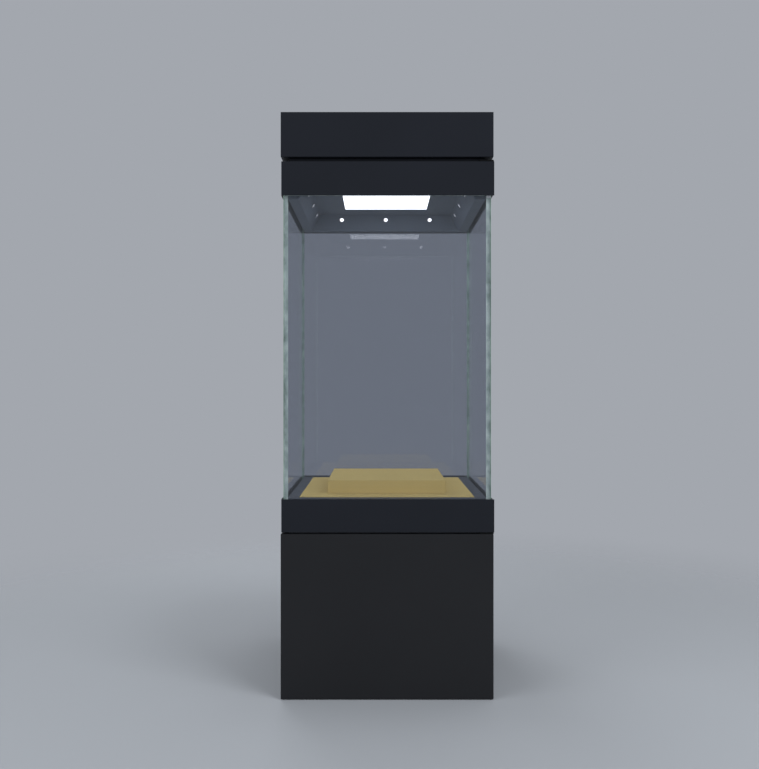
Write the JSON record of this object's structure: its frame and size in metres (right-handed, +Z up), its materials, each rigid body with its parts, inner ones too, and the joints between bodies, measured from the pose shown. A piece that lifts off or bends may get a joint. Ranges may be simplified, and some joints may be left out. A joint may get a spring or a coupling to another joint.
{
  "type": "pedestal display case",
  "caption": "Square museum display case: metal plinth, hinged glass front, cloth-covered board with riser, and a canopy with a light panel and spotlights.",
  "frame": {"origin": "on the floor, under the middle of the case", "axes": "+Z up, -Y towards the glass door, +X to the door's hinge side"},
  "size_m": [0.804, 0.8023, 2.208],
  "materials": {
    "plinth_powder_coat": "satin",
    "canopy_powder_coat": "satin",
    "deck_paint": "satin",
    "ceiling_paint": "matte",
    "frame_paint": "satin",
    "clear_glass": "polished",
    "tan_cloth": "matte",
    "opal_acrylic": "satin",
    "spot_trim": "satin",
    "satin_steel": "satin",
    "zinc_steel": "satin",
    "white_housing": "satin",
    "black_plastic": "matte",
    "cable_jacket": "matte",
    "clear_silicone": "satin"
  },
  "bodies": {
    "case": {"base_ring": "frame_paint", "levelling_foot_front_left": "zinc_steel", "levelling_foot_front_right": "zinc_steel", "levelling_foot_rear_left": "zinc_steel", "levelling_foot_rear_right": "zinc_steel", "corner_post_front_left": "frame_paint", "corner_post_front_right": "frame_paint", "corner_post_rear_left": "frame_paint", "corner_post_rear_right": "frame_paint", "plinth_panel_front": "plinth_powder_coat", "plinth_panel_back": "plinth_powder_coat", "plinth_panel_left": "plinth_powder_coat", "plinth_panel_right": "plinth_powder_coat", "deck_base": "deck_paint", "deck_margin_front": "deck_paint", "deck_margin_back": "deck_paint", "deck_margin_left": "deck_paint", "deck_margin_right": "deck_paint", "rear_glass_rail": "deck_paint", "collar_left": "canopy_powder_coat", "collar_right": "canopy_powder_coat", "collar_back": "canopy_powder_coat", "fascia_left": "canopy_powder_coat", "fascia_right": "canopy_powder_coat", "fascia_back": "canopy_powder_coat", "glass_back": "clear_glass", "glass_left": "clear_glass", "glass_right": "clear_glass", "ceiling_coffer": "ceiling_paint", "light_diffuser": "opal_acrylic", "light_box": "white_housing", "spotlight_rear_1": "spot_trim", "spotlight_rear_2": "spot_trim", "spotlight_rear_3": "spot_trim", "spotlight_left_1": "spot_trim", "spotlight_left_2": "spot_trim", "spotlight_left_3": "spot_trim", "spotlight_front_1": "spot_trim", "spotlight_front_2": "spot_trim", "spotlight_front_3": "spot_trim", "spotlight_right_1": "spot_trim", "spotlight_right_2": "spot_trim", "spotlight_right_3": "spot_trim", "attic_frame": "canopy_powder_coat", "hood_shell": "canopy_powder_coat", "led_driver": "white_housing", "power_inlet": "black_plastic", "power_lead": "cable_jacket", "pivot_bracket_lower": "frame_paint", "pivot_bracket_upper": "frame_paint"},
    "door": {"door_glass": "clear_glass", "door_collar": "canopy_powder_coat", "door_fascia": "canopy_powder_coat", "door_corner_clamp": "satin_steel", "door_seal": "clear_silicone"},
    "lower_lock": {"door_lock_lower": "satin_steel"},
    "upper_lock": {"door_lock_upper": "satin_steel"},
    "lid": {"attic_lid": "canopy_powder_coat"},
    "board": {"display_board": "tan_cloth"},
    "riser": {"riser_block": "tan_cloth"}
  },
  "joints": [
    {"name": "door_hinge", "type": "hinge", "parent": "case", "child": "door", "pos_m": [0.3955, -0.393, 1.3265], "axis": [0, 0, 1], "range_deg": [0, 110]},
    {"name": "lower_lock_turn", "type": "hinge", "parent": "case", "child": "lower_lock", "pos_m": [-0.4, -0.35, 0.665], "axis": [-1, 0, 0], "range_deg": [0, 90]},
    {"name": "upper_lock_turn", "type": "hinge", "parent": "case", "child": "upper_lock", "pos_m": [-0.4, -0.35, 1.988], "axis": [-1, 0, 0], "range_deg": [0, 90]},
    {"name": "lid_hinge", "type": "hinge", "parent": "case", "child": "lid", "pos_m": [0, 0.3835, 2.2021], "axis": [-1, 0, 0], "range_deg": [0, 85]},
    {"name": "board_lift", "type": "slide", "parent": "case", "child": "board", "axis": [0, 0, 1], "range_m": [0, 0.06]},
    {"name": "riser_lift", "type": "slide", "parent": "board", "child": "riser", "axis": [0, 0, 1], "range_m": [0, 0.3]}
  ]
}
